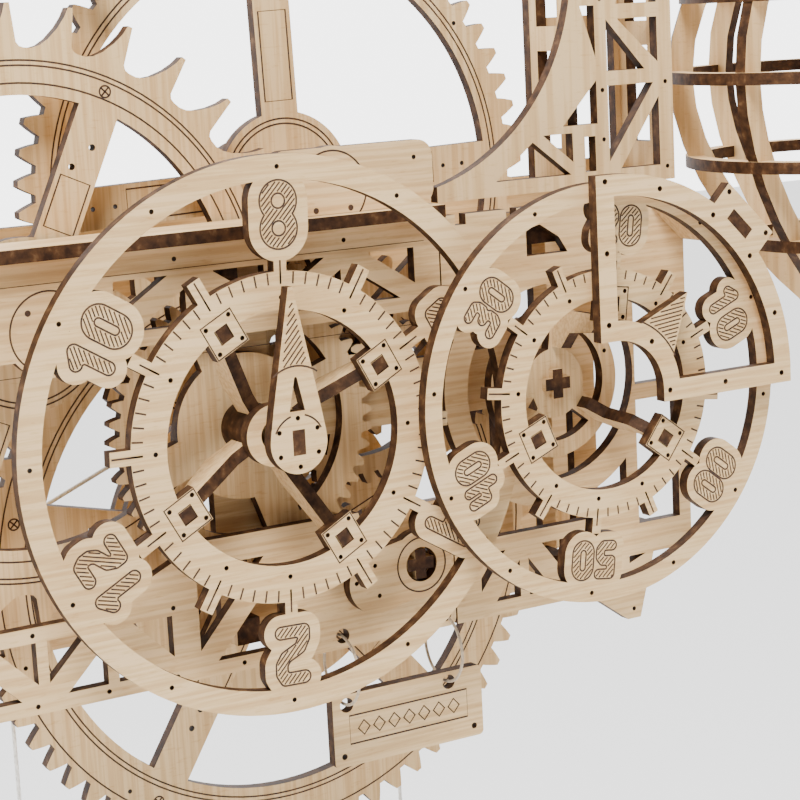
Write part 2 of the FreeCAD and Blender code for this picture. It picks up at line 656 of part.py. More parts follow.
def truss_cuts(x0, z0, x1, z1, bays, rib, flip=False):
    """Triangular cut-outs that leave a lattice of diagonals and uprights."""
    cuts = []
    pitch = (x1 - x0) / bays
    for k in range(bays):
        a, b = x0 + k * pitch + rib / 2, x0 + (k + 1) * pitch - rib / 2
        low, high = (z0, z1) if (k % 2 == 0) != flip else (z1, z0)
        d = rib * 0.75 * (1 if high > low else -1)
        cuts.append(polygon([(a, low + 1.6 * d), (a, high), (b - 1.6 * rib, high)]))
        cuts.append(polygon([(a + 1.6 * rib, low), (b, low), (b, high - 1.6 * d)]))
    return cuts


def rivet_dots(x0, x1, z, count):
    return [disc((x0 + (x1 - x0) * k / (count - 1), z), DOT) for k in range(count)]


left, right = D.frame_left, 51.6
upper = union([rounded_box(left, D.beam_low, right, D.beam_top, 2.0), disc(ESCAPE, 10.0)])
upper_cuts = truss_cuts(left + 12, D.beam_low + 3.5, -64.0, D.beam_top - 6.5, 2, 2.6)
upper_cuts += truss_cuts(-33.0, D.beam_low + 3.5, 46.0, D.beam_top - 6.5, 4, 2.6)
upper_cuts += rivet_dots(left + 4, right - 4, D.beam_top - 3.0, 9)
upper_plate = slab(minus(upper, upper_cuts), D.layer_front, D.layer_front + PLY)
add_solid("upper_front_truss", upper_plate.cut(closed_bearing(ESCAPE)))

lower = union([rounded_box(left, D.sill_low, right, D.sill_top, 2.0),
               disc(GREAT, 9.5), polygon([(-44.0, D.sill_top - 1), (-14.0, -24.0),
                                          (26.0, -24.0), (33.0, -47.0)])])
lower_cuts = truss_cuts(left + 8, D.sill_low + 3.5, -22.0, D.sill_top - 3.5, 6, 2.6)
lower_cuts += truss_cuts(-18.0, D.sill_low + 3.5, 6.0, -30.0, 1, 2.6)
tie_x = (20.0, 48.5)
tie_holes = [disc((x, D.sill_low + 3.1), 1.8) for x in tie_x]
lower_cuts += rivet_dots(left + 4, -6.0, D.sill_top - 1.8, 8)
lower_cuts += rivet_dots(left + 4, -6.0, D.sill_low + 1.8, 8)
lower = minus(lower, bearing_holes(GREAT, WINDING) + lower_cuts + tie_holes)
add_plate("lower_front_truss", lower, "layer_front")

side = union([box(right + 0.4, D.beam_low, D.frame_right, D.beam_top),
              box(right + 0.4, D.sill_low, 104.0, D.sill_top),
              box(104.0, D.sill_low + 8, D.frame_right, D.beam_top),
              ring(MINUTE, 31.0, 24.5), polygon([(90.0, D.sill_low + 1), (103.0, D.sill_low - 8.5),
                                                 (107.0, D.sill_low - 8.5), (112.0, D.sill_low + 9)])])
side_cuts = truss_cuts(58.0, D.sill_low + 3.5, 100.0, -40.0, 3, 2.6)
side_cuts += [disc(MINUTE, 24.5), box(107.5, -40.0, 120.5, -8.0), box(107.5, -4.0, 120.5, 18.0)]
side_cuts += [box(56.5, 41.0, 59.5, 44.2), box(71.0, 41.1, 74.0, 44.3)]
side_cuts.append(polygon([(76.5, 31.6), (88.5, 31.6), (86.0, 35.5), (80.5, 39.0), (76.5, 38.0)]))
lug_angle = 45.0
LUG = at(52.7, lug_angle, MINUTE)
lug_slot = tilted_box(LUG, 7.7, 3.1, lug_angle + 90)
side_cuts += [disc((105.0, D.sill_low - 6.0), DOT), lug_slot]
side = minus(side, side_cuts)
add_plate("right_front_plate", side, "layer_front")

cover = union([capsule(WINDING, (28.5, -40.6), 7.6), disc(WINDING, 8.4)])
cover_dots = [disc(p, DOT) for p in ((28.0, -36.6), (28.8, -44.0), (22.8, -40.0))]
add_plate("winding_bearing_plate", minus(cover, bearing_holes(WINDING) + cover_dots), "layer_cover")

shelf = block(left, D.shelf_front, D.beam_top + 0.1, right, 28.0, D.beam_top + 0.1 + PLY)
add_solid("front_shelf", shelf)
shelf_top = D.beam_top + 0.1 + PLY

bearing = union([rounded_box(8.0, shelf_top + 0.1, 51.0, 62.0, 4.0), disc(CENTRE, 10.0)])
bearing = bearing.cut([box(0.0, 40.0, 60.0, shelf_top + 0.1)])
bearing_dots = [disc((x, 58.0), DOT) for x in (13.0, 46.0)]
centre_cock = slab(minus(bearing, bearing_dots), D.layer_front, D.layer_front + PLY)
centre_cock = centre_cock.cut(closed_bearing(CENTRE))

# Tower: an arc-flanked front plate, a plain back plate and two side walls.
flare_centre = (39.2, 102.0)
flare_radius = 53.2
tower_base = box(52.0, shelf_top + 0.1, D.tower_right, 60.0)
flare = box(52.0, 60.0, D.tower_left + 1, 102.0).cut([disc(flare_centre, flare_radius)])
shaft = box(D.tower_left, 60.0, D.tower_right, D.tower_top)
tower_base = tower_base.cut([disc(flare_centre, flare_radius)])
tower = union([tower_base.Faces[0], flare.Faces[0], shaft])
upright = 100.6
tower_cuts = [
    polygon([(upright + 1.6, 92.0), (upright + 1.6, 122.0), (117.0, 122.0)]),
    polygon([(upright + 4.6, 90.6), (117.6, 90.6), (117.6, 116.0)]),
    polygon([(upright + 1.6, 74.5), (upright + 1.6, 87.0), (113.5, 74.5)]),
    polygon([(117.6, 76.0), (117.6, 87.0), (upright + 5.0, 87.0)]),
    polygon([(upright + 1.6, 52.5), (upright + 1.6, 71.0), (116.0, 71.0)]),
    polygon([(upright + 5.0, 50.5), (117.6, 50.5), (117.6, 67.5)]),
    polygon([(upright - 1.8, 78.0), (upright - 1.8, 90.5), (94.6, 90.5)]),
    polygon([(upright - 1.8, 62.0), (upright - 1.8, 72.5), (88.5, 62.0)]),
    polygon([(68.5, 50.2), (90.5, 50.2), (79.5, 58.8)]),
    polygon([(82.6, 60.2), (91.2, 60.2), (91.2, 53.2)]),
    box(94.8, 50.5, 98.0, 59.0),
]
tower_cuts += [disc((upright, z), DOT) for z in (58.0, 70.0, 92.0, 112.0)]
tower_cuts += [disc((119.8, z), DOT) for z in (50.0, 71.0, 92.0, 112.0)]
add_plate("tower_front", minus(tower, tower_cuts), "layer_front")
tower_back = box(D.tower_left, shelf_top + 0.1, D.tower_right, D.tower_top)
back_cuts = [box(96.5, 52.0, 117.5, 84.0), box(96.5, 88.0, 117.5, 122.0)]
add_plate("tower_back", minus(tower_back, back_cuts), "layer_motion")
wall_cut = [(56.0, 80.0), (86.0, 120.0)]
walls = []
for x in (D.tower_left, D.tower_right - PLY):
    wall = block(x, D.layer_front + PLY, shelf_top + 0.1, x + PLY, D.layer_motion, D.tower_top)
    holes = [block(x - 1, 22.0, z0, x + PLY + 1, 31.0, z1) for z0, z1 in wall_cut]
    walls.append(wall.cut(holes))
add_solid("tower_side_walls", Part.makeCompound(walls))

# Inner bridge: carries the hour post and the motion, minute and winding arbors.
bridge = union([box(-7.0, -52.0, 9.0, 41.0), box(-7.0, -6.0, 100.0, 9.0), box(94.0, -52.0, 101.0, 41.0),
                disc(MOTION, 9.0), disc(MINUTE, 11.0), capsule(GREAT, WINDING, 9.0),
                bar((9.0, -48.0), (42.0, -42.0), 8.0), bar((30.0, 12.0), (14.0, 34.0), 6.0)])
bridge = minus(bridge, bearing_holes(MOTION, MINUTE, GREAT, WINDING) + [hand_hole])
add_plate("inner_bridge", bridge, "layer_bridge")
rear = union([box(74.0, -52.0, 91.0, 41.0), disc(MINUTE, 11.0)])
rear_cuts = bearing_holes(MINUTE) + [box(78.0, -46.0, 87.0, -14.0), box(78.0, 14.0, 87.0, 36.0)]
add_plate("minute_rear_bridge", minus(rear, rear_cuts), "layer_escape")

# Back frame on the wall side, with the hanging hole.
back = union([box(left, D.beam_low, D.frame_right, shelf_top), disc(CENTRE, 10.0),
              box(left, D.sill_low, D.frame_right, D.sill_top),
              box(left, D.sill_low, left + 12, D.beam_top), box(112.0, D.sill_low, D.frame_right, D.beam_top),
              box(10.0, D.sill_low, 28.0, D.beam_top), bar((-88.0, 40.0), ANCHOR, 16.0), disc(ANCHOR, 9.0),
              disc(ESCAPE, 10.0), disc(GREAT, 10.0), disc((D.pulley_x, D.pulley_z), 8.0)])
back = minus(back, bearing_holes(ESCAPE, GREAT, CENTRE, ANCHOR)
             + [disc((D.hang_x, D.hang_z), D.hang_radius), disc((D.pulley_x, D.pulley_z), 2.5)])
add_plate("back_frame", back, "layer_back")

posts = []
for x, z in ((-3.0, 37.0), (-3.0, -48.0), (97.5, 37.0), (97.5, -48.0)):
    posts.append(block(x - 3, D.layer_front + PLY, z - 3, x + 3, D.layer_bridge, z + 3))
for z in (37.0, -48.0):
    posts.append(block(77.0, D.layer_front + PLY, z - 3, 88.0, D.layer_escape, z + 3))
for x, z in ((-124.0, 36.0), (-124.0, -46.0), (116.0, 33.0), (116.0, -46.0)):
    posts.append(block(x - 3, D.layer_front + PLY, z - 3, x + 3, D.layer_back, z + 3))
add_solid("frame_posts", Part.makeCompound(posts))
anchor_cock = union([bar(ANCHOR, (-98.5, 44.0), 10.0), disc(ANCHOR, 9.0)])
anchor_cock = anchor_cock.cut([box(-120.0, 30.0, -80.0, shelf_top + 0.1)])
anchor_cock = slab(minus(anchor_cock, bearing_holes(ANCHOR)), D.layer_bridge - PLY, D.layer_bridge)
add_solid("bearing_cocks", Part.makeCompound([centre_cock, anchor_cock]))

# ---------------------------------------------------------------- window frame
window = union([
    ring(MINUTE, 52.2, 47.2).common(box(MINUTE[0], MINUTE[1], MINUTE[0] + 60, MINUTE[1] + 60)).Faces[0],
    ring(MINUTE, 18.0, 13.2).common(box(MINUTE[0], MINUTE[1], MINUTE[0] + 60, MINUTE[1] + 60)).Faces[0],
    box(MINUTE[0] - 4.6, MINUTE[1] + 13.2, MINUTE[0] + 0.4, MINUTE[1] + 52.2),
    box(MINUTE[0] + 13.2, MINUTE[1] - 3.0, MINUTE[0] + 52.2, MINUTE[1] + 2.0),
    polygon([at(17.0, 70, MINUTE), at(30.8, 47, MINUTE), at(17.0, 22, MINUTE)]),
    tilted_box(LUG, 18.5, 10.2, lug_angle + 90)])
window_dots = [(-2.0, 50.7), (-2.1, 34.0), (-2.2, 17.2), (49.3, -0.6), (31.8, -0.5), (15.0, -0.4)]
window_dots = [(MINUTE[0] + x, MINUTE[1] + z) for x, z in window_dots]
window_dots += [at(49.7, 74, MINUTE), at(49.7, 17, MINUTE), at(15.6, 50, MINUTE)]
for across in (-7.7, 7.7):
    for out in (-3.6, 3.6):
        window_dots.append(at(across, lug_angle + 90, at(52.7 + out, lug_angle, MINUTE)))
window = minus(window, [disc(p, 0.65) for p in window_dots] + [lug_slot])
add_plate("window_frame", window, "layer_window")
bracket = tilted_box(LUG, 7.6, 3.0, lug_angle + 90).extrude(V(0, D.layer_front + PLY - D.layer_window, 0))
bracket.translate(V(0, D.layer_window, 0))
bracket_wide = tilted_box(LUG, 13.0, 3.0, lug_angle + 90).extrude(
    V(0, D.layer_front - D.layer_window - PLY, 0))
bracket_wide.translate(V(0, D.layer_window + PLY, 0))
add_solid("window_bracket", bracket.fuse(bracket_wide).removeSplitter())

# --------------------------------------------------------------------- balloon
AXIS = (D.balloon_x, D.balloon_y)
balloon_mid = 71.0


def balloon_width(z):
    """Radius of the balloon's skin line at a height."""
    if z >= balloon_mid:
        return math.sqrt(max(0.0, D.balloon_radius ** 2 - (z - balloon_mid) ** 2))
    drop = (balloon_mid - z) / 66.0
    return D.balloon_radius * (1 - drop ** 1.9) + 10.0 * drop ** 1.9


rib_depth = 6.0
outer_line = [(balloon_width(z), z) for z in
              [balloon_mid + D.balloon_radius * math.sin(math.radians(a)) for a in range(84, -1, -12)]]
outer_line += [(balloon_width(z), z) for z in (62, 53, 44, 35, 26, 17, 8)]


def inward(line, depth):
    """The same line, set in by a depth square to it."""
    result = []
    for i, (r, z) in enumerate(line):
        r0, z0 = line[max(0, i - 1)]
        r1, z1 = line[min(len(line) - 1, i + 1)]
        length = math.hypot(r1 - r0, z1 - z0)
        result.append((r + depth * (z1 - z0) / length, z - depth * (r1 - r0) / length))
    return result


inner_line = [(max(r, 3.2), z) for r, z in inward(outer_line, rib_depth)]
rib_profile = [(3.2, outer_line[0][1])] + outer_line + [(inner_line[-1][0], outer_line[-1][1])]
rib_profile += inner_line[-2:0:-1] + [(3.2, inner_line[1][1])]
ribs = []
for k in range(8):
    points = [V(r, -PLY / 2, z) for r, z in rib_profile]
    rib = Part.Face(Part.makePolygon(points + [points[0]])).extrude(V(0, PLY, 0))
    rib = rib.common(block(3.2 if k % 2 == 0 else 5.0, -5, -20, 80, 5, 160))
    rib.rotate(V(0, 0, 0), V(0, 0, 1), 45 * k + 12)
    rib.translate(V(AXIS[0], AXIS[1], 0))
    ribs.append(rib)
rib_group = Part.makeCompound([solid for rib in ribs for solid in rib.Solids])
add_solid("balloon_ribs", rib_group)
rings = []
for z in (28.0, 49.0, 71.0, 91.0, 109.0):
    width = balloon_width(z)
    hoop = Part.makeCylinder(width + 1.0, PLY, V(AXIS[0], AXIS[1], z - PLY / 2)).cut(
        Part.makeCylinder(width - 3.5, PLY, V(AXIS[0], AXIS[1], z - PLY / 2)))
    rings.append(hoop.cut(ribs))
add_solid("balloon_rings", Part.makeCompound([solid for hoop in rings for solid in hoop.Solids]))
mast_low = -26.0
mast = block(AXIS[0] - 1.5, AXIS[1] - 1.5, mast_low, AXIS[0] + 1.5, AXIS[1] + 1.5, D.tower_top + PLY)
add_solid("balloon_mast", mast)
basket = Part.makeCylinder(9.0, PLY, V(AXIS[0], AXIS[1], mast_low + 8.5))
basket = basket.fuse([Part.makeCylinder(7.5, 14.0, V(AXIS[0], AXIS[1], mast_low - 5.5)),
                      Part.makeCylinder(8.5, 2.0, V(AXIS[0], AXIS[1], mast_low - 7.5))])
add_solid("balloon_basket", basket.cut(mast))
arm_plate = Part.Face(Part.makePolygon([V(x, y, D.tower_top) for x, y in (
    (96.0, 13.0), (96.0, 37.5), (124.0, 37.5), (184.0, 13.0), (184.0, 3.0), (124.0, 13.0), (96.0, 13.0))]))
add_solid("balloon_arm", arm_plate.extrude(V(0, 0, PLY)).cut(mast))

# ------------------------------------------------------- cords, pulley, weights
cord_y = D.layer_drum + 4.5
run = D.drum_radius + D.cord_radius + 0.1
groove = D.pulley_radius + D.cord_radius + 0.1
PULLEY = (D.pulley_x, D.pulley_z)
pulley_faces = ring(PULLEY, D.pulley_radius, 2.9)
pulley_flange = ring(PULLEY, D.pulley_radius + 2.5, 2.9)
pulley = slab(pulley_flange, cord_y - 3.5, cord_y - 1.5).fuse([
    slab(pulley_faces, cord_y - 1.5, cord_y + 1.5), slab(pulley_flange, cord_y + 1.5, cord_y + 3.5)])
add_solid("guide_pulley", pulley)
pin = Part.makeCylinder(2.45, D.wall_plane - cord_y + 5.0, V(PULLEY[0], cord_y - 5.0, PULLEY[1]), V(0, 1, 0))
add_solid("pulley_pin", pin)

right_x = GREAT[0] + run
left_x = PULLEY[0] - groove


def round_bar(start, end, radius=None):
    line = V(*end) - V(*start)
    return Part.makeCylinder(radius or D.cord_radius, line.Length, V(*start), line)


lean = math.degrees(math.asin((run - groove) / math.dist(PULLEY, GREAT)))
bearing_angle = math.degrees(math.atan2(GREAT[1] - PULLEY[1], GREAT[0] - PULLEY[0]))
touch = bearing_angle + 90 + lean
pulley_touch = at(groove, touch, PULLEY)
drum_touch = at(run, touch, GREAT)


def cord_path(points):
    edges = []
    for kind, data in points:
        if kind == "arc":
            centre, radius, start, end = data
            middle = (start + end) / 2
            a, b, c = (at(radius, t, centre) for t in (start, middle, end))
            a, b, c = (V(x, cord_y, z) for x, z in (a, b, c))
            edges.append(Part.Arc(a, b, c).toShape())
        else:
            a, b = data
            edges.append(Part.LineSegment(V(a[0], cord_y, a[1]), V(b[0], cord_y, b[1])).toShape())
    return Part.Wire(edges)


path = cord_path([("arc", (PULLEY, groove, 180.0, touch)), ("line", (pulley_touch, drum_touch)),
                  ("arc", (GREAT, run, touch, 0.0))])
section = Part.Wire(Part.makeCircle(D.cord_radius, V(left_x, cord_y, PULLEY[1]), V(0, 0, 1)))
over = path.makePipeShell([section], True, False)
add_solid("cord_over_drum", over)
add_solid("drive_cord", round_bar((right_x, cord_y, GREAT[1]), (right_x, cord_y, D.weight_top)))
add_solid("counter_cord", round_bar((left_x, cord_y, PULLEY[1]), (left_x, cord_y, D.weight_top)))


def weight(x, width, height, deep):
    """Box weight with a lid that has the cord's eye."""
    top = D.weight_top
    lid = block(x - width / 2 - 1, cord_y - deep / 2, top - PLY, x + width / 2 + 1, cord_y + deep / 2, top)
    body = block(x - width / 2, cord_y - deep / 2 + 1, top - PLY - height, x + width / 2,
                 cord_y + deep / 2 - 1, top - PLY)
    return lid.fuse(body)


add_solid("drive_weight", weight(right_x, 30.0, 38.0, 18.0))
add_solid("counter_weight", weight(left_x, 14.0, 20.0, 10.0))

# ------------------------------------------------------------------- nameplate
plate_left, plate_right = 16.1, 57.9
name_top = -67.4
name_plate = rounded_box(plate_left, name_top - 17.8, plate_right, name_top, 1.2)
name_holes = [disc((x, name_top - 15.2), 0.75) for x in (plate_left + 2.6, plate_right - 2.6)]
name_holes += [disc((x, name_top - 2.6), 1.8) for x in tie_x]
add_plate("nameplate", minus(name_plate, name_holes), "layer_front")
tie_top = D.sill_low + 3.1
tie_low = name_top - 2.6
tie_middle = (tie_top + tie_low) / 2
ties = [Part.makeTorus((tie_top - tie_low) / 2, 0.35, V(x, D.layer_front + PLY / 2, tie_middle),
                       V(1, 0, 0)) for x in tie_x]
add_solid("nameplate_ties", Part.makeCompound(ties))

# --------------------------------------------------------------- check, export
doc.recompute()
for obj in doc.Objects:
    if "Invalid" in obj.State or "Error" in obj.State:
        raise RuntimeError("failed object: %s" % obj.Label)
os.makedirs("parts", exist_ok=True)
for part in PARTS:
    shape = part.Shape
    if shape.isNull() or not shape.isValid():
        raise RuntimeError("bad shape: %s" % part.Label)
    shape.exportStep(os.path.join("parts", part.Label + ".step"))
    print("%-24s solids %d  volume %.1f" % (part.Label, len(shape.Solids), shape.Volume))
print(len(PARTS), "sub-parts")
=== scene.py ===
"""Looks of the wooden wall clock: plywood, laser engraving, thread, light and camera."""
import json
import math

import bmesh
import bpy
from mathutils import Matrix, Vector


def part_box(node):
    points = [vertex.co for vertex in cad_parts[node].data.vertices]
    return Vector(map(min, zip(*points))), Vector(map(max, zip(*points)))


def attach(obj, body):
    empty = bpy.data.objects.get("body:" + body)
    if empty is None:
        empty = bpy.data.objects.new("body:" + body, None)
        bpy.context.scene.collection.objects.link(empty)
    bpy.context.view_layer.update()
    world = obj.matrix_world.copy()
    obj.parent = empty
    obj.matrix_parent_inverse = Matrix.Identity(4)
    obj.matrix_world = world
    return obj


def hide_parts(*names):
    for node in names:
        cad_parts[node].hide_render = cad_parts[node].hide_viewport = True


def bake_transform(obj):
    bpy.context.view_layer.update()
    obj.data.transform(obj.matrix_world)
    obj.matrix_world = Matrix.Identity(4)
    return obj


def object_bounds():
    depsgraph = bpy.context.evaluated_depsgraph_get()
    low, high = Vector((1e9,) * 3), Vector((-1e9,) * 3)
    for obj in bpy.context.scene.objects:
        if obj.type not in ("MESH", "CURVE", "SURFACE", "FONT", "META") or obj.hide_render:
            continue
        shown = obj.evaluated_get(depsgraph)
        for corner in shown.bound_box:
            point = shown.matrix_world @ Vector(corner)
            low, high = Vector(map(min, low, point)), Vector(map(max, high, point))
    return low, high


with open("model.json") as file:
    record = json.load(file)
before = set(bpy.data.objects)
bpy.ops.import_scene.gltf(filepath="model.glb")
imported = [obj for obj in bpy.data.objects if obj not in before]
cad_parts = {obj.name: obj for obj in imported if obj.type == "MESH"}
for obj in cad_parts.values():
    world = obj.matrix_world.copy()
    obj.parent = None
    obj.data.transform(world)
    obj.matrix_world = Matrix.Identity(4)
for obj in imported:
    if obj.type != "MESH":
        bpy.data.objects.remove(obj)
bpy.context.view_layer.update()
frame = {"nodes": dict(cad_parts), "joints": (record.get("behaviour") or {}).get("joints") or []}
nodes = frame["nodes"]
joints = {j["name"]: j for j in frame["joints"]}
MM = 0.001

# Engraving is drawn in millimetres about an axis: across to the right, up to the top.
# A burnt line stands a little proud of its plate and is sunk a little into it.
LINE = 0.4
HATCH_WIDTH = 0.33
HATCH_PITCH = 0.86
HATCH_ANGLE = 48.0
PROUD = 0.04
SUNK = 0.05
ARC_STEP = 3.0


def axis_of(name):
    """Axis of a joint along y, as millimetres (across, up) in the clock's frame."""
    place = joints[name]["pos_m"]
    return (place[0] / MM, place[2] / MM)


HOUR = axis_of("hour_dial_turn")
MINUTE = axis_of("minute_dial_turn")
CENTRE = axis_of("centre_wheel_turn")
ESCAPE = axis_of("escape_wheel_turn")
GREAT = axis_of("great_wheel_turn")
WINDING = axis_of("winding_arbor_turn")


# ------------------------------------------------------------------ materials
# Places of the colour sockets on a Mix node, whose sockets share their names.
MIX_FIRST_COLOUR = 6
MIX_SECOND_COLOUR = 7
MIX_COLOUR_OUT = 2
NOISE_ROUGHNESS = 0.55


class Shader:
    """Small helper that adds nodes to a material and joins their sockets."""

    def __init__(self, name, roughness):
        self.material = bpy.data.materials.new(name)
        self.material.use_nodes = True
        self.tree = self.material.node_tree
        self.surface = self.tree.nodes["Principled BSDF"]
        self.surface.inputs["Roughness"].default_value = roughness

    def add(self, kind, **settings):
        node = self.tree.nodes.new(kind)
        for key, value in settings.items():
            setattr(node, key, value)
        return node

    def join(self, source, target):
        self.tree.links.new(source, target)

    def vector(self, operation, first, second=None):
        node = self.add("ShaderNodeVectorMath", operation=operation)
        for socket, value in zip(node.inputs, (first, second)):
            self.feed(socket, value)
        return node.outputs["Value" if operation == "DOT_PRODUCT" else "Vector"]

    def maths(self, operation, first, second=0.0):
        node = self.add("ShaderNodeMath", operation=operation)
        self.feed(node.inputs[0], first)
        self.feed(node.inputs[1], second)
        return node.outputs[0]

    def feed(self, socket, value):
        if value is None:
            return
        if isinstance(value, bpy.types.NodeSocket):
            self.join(value, socket)
        else:
            socket.default_value = value

    def noise(self, coordinates, stretch, detail):
        """Noise whose grain is stretched by a scale per metre on each axis."""
        node = self.add("ShaderNodeTexNoise")
        node.inputs["Scale"].default_value = 1.0
        node.inputs["Detail"].default_value = detail
        node.inputs["Roughness"].default_value = NOISE_ROUGHNESS
        self.join(self.vector("MULTIPLY", coordinates, stretch), node.inputs["Vector"])
        return node.outputs["Fac"]

    def ramp(self, fac, stops):
        node = self.add("ShaderNodeValToRGB")
        elements = node.color_ramp.elements
        while len(elements) < len(stops):
            elements.new(0.5)
        for element, (place, colour) in zip(elements, stops):
            element.position = place
            element.color = (*colour, 1.0)
        self.join(fac, node.inputs["Fac"])
        return node.outputs["Color"]

    def mix(self, fac, first, second, blend="MIX"):
        node = self.add("ShaderNodeMix", data_type="RGBA", blend_type=blend)
        self.feed(node.inputs[0], fac)
        self.feed(node.inputs[MIX_FIRST_COLOUR], first)
        self.feed(node.inputs[MIX_SECOND_COLOUR], second)
        return node.outputs[MIX_COLOUR_OUT]

    def bump(self, height, strength, distance):
        node = self.add("ShaderNodeBump")
        node.inputs["Strength"].default_value = strength
        node.inputs["Distance"].default_value = distance
        self.join(height, node.inputs["Height"])
        self.join(node.outputs["Normal"], self.surface.inputs["Normal"])


FACE_PALE = (0.66, 0.462, 0.245)
FACE_WARM = (0.59, 0.39, 0.188)
FACE_VEIN = (0.53, 0.34, 0.158)
BURNT_DARK = (0.022, 0.009, 0.004)
BURNT_WARM = (0.060, 0.026, 0.010)
BURNT_NICK = (0.130, 0.066, 0.028)
WHITE = (1.0, 1.0, 1.0)
CLOUD_TINT = (0.90, 0.86, 0.80)
FLECK_TINT = (0.80, 0.72, 0.60)
WOOD_ROUGHNESS = 0.62
WOOD_SPECULAR = 0.15
FACING_LIMIT = 0.8

# Noise scales per metre along x, y and z; the small one runs along the grain.
GRAIN_ALONG_X = (30.0, 1100.0, 900.0)
GRAIN_ALONG_Z = (1000.0, 1100.0, 30.0)
ARBOR_GRAIN = (900.0, 30.0, 900.0)
TOWER_GRAIN = (480.0, 700.0, 20.0)
LEVEL_GRAIN = (22.0, 520.0, 700.0)
SIDE_GRAIN = (700.0, 480.0, 22.0)
RIB_GRAIN = (480.0, 480.0, 24.0)
CLOUD_SCALE = (16.0, 16.0, 16.0)
FLECK_SCALE = (260.0, 900.0, 1500.0)
SCORCH_SCALE = (420.0, 420.0, 420.0)


def plywood(name, facing, around=None, grain=GRAIN_ALONG_X, ends_burnt=False):
    """Birch plywood: a pale veneer where the surface looks along facing, else a burnt cut edge.

    Where around is a point, the plates stand edge-on about an axis along facing
    through it, so the veneer looks along the circle about that axis. With
    ends_burnt the surfaces that look along facing are the cut ones instead.
    """
    s = Shader(name, WOOD_ROUGHNESS)
    s.surface.inputs["Specular IOR Level"].default_value = WOOD_SPECULAR
    coordinates = s.add("ShaderNodeTexCoord")
    place, normal = coordinates.outputs["Object"], coordinates.outputs["Normal"]
    if around is None:
        looks = s.vector("DOT_PRODUCT", normal, facing)
    else:
        radial = s.vector("SUBTRACT", place, around)
        round_axis = s.vector("NORMALIZE", s.vector("CROSS_PRODUCT", facing, radial))
        looks = s.vector("DOT_PRODUCT", normal, round_axis)
    test = "LESS_THAN" if ends_burnt else "GREATER_THAN"
    is_face = s.maths(test, s.maths("ABSOLUTE", looks), FACING_LIMIT)
    lines = s.noise(place, grain, detail=6.0)
    cloud = s.noise(place, CLOUD_SCALE, detail=2.0)
    fleck = s.noise(place, FLECK_SCALE, detail=2.0)
    face = s.ramp(lines, [(0.34, FACE_VEIN), (0.47, FACE_WARM), (0.56, FACE_PALE)])
    tint = s.ramp(cloud, [(0.35, CLOUD_TINT), (0.62, WHITE)])
    face = s.mix(0.8, face, tint, "MULTIPLY")
    flecks = s.ramp(fleck, [(0.28, FLECK_TINT), (0.40, WHITE)])
    face = s.mix(0.5, face, flecks, "MULTIPLY")
    scorch = s.noise(place, SCORCH_SCALE, detail=3.0)
    burnt = s.ramp(scorch, [(0.36, BURNT_DARK), (0.60, BURNT_WARM), (0.76, BURNT_NICK)])
    s.join(s.mix(is_face, burnt, face), s.surface.inputs["Base Color"])
    s.bump(lines, strength=0.22, distance=0.00012)
    return s.material


def engraved_brown():
    """Dark, matt line that a laser burns into the veneer."""
    s = Shader("engraved_brown", 0.85)
    place = s.add("ShaderNodeTexCoord").outputs["Object"]
    burn = s.noise(place, (900.0, 900.0, 900.0), detail=2.0)
    colour = s.ramp(burn, [(0.35, (0.022, 0.009, 0.004)), (0.65, (0.060, 0.027, 0.011))])
    s.join(colour, s.surface.inputs["Base Color"])
    return s.material


def thread(name, bright, shaded):
    """Spun thread, bright on its fibres and shaded between them."""
    s = Shader(name, 0.75)
    s.surface.inputs["Sheen Weight"].default_value = 0.3
    place = s.add("ShaderNodeTexCoord").outputs["Object"]
    fibre = s.noise(place, (2600.0, 2600.0, 900.0), detail=3.0)
    colour = s.ramp(fibre, [(0.3, shaded), (0.6, bright)])
    s.join(colour, s.surface.inputs["Base Color"])
    s.bump(fibre, strength=0.5, distance=0.0001)
    return s.material


ALONG_X, ALONG_Y, ALONG_Z = (1.0, 0.0, 0.0), (0.0, 1.0, 0.0), (0.0, 0.0, 1.0)
flat_plywood = plywood("plywood_flat", ALONG_Y)
wheel_plywood = plywood("plywood_wheel", ALONG_Y, grain=GRAIN_ALONG_Z)
arbor_plywood = plywood("plywood_arbor", ALONG_Y, grain=ARBOR_GRAIN, ends_burnt=True)
tower_plywood = plywood("plywood_tower", ALONG_Y, grain=TOWER_GRAIN)
level_plywood = plywood("plywood_level", ALONG_Z, grain=LEVEL_GRAIN)
side_plywood = plywood("plywood_side", ALONG_X, grain=SIDE_GRAIN)
hour_arm_plywood = plywood("plywood_hour_arms", ALONG_Y, around=(HOUR[0] * MM, 0, HOUR[1] * MM))
minute_arm_plywood = plywood("plywood_minute_arms", ALONG_Y,
                             around=(MINUTE[0] * MM, 0, MINUTE[1] * MM))
mast_low, mast_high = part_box("balloon_mast")
mast_middle = (mast_low + mast_high) / 2
rib_plywood = plywood("plywood_ribs", ALONG_Z, around=(mast_middle.x, mast_middle.y, 0),
                      grain=RIB_GRAIN)
# The veneer of the window bracket looks halfway between x and z.
window_bracket_plywood = plywood("plywood_bracket", (0.7071, 0.0, 0.7071))
brown = engraved_brown()
white_thread = thread("white_thread", (0.82, 0.80, 0.75), (0.56, 0.53, 0.47))
tie_thread = thread("tie_thread", (0.46, 0.36, 0.24), (0.26, 0.19, 0.12))

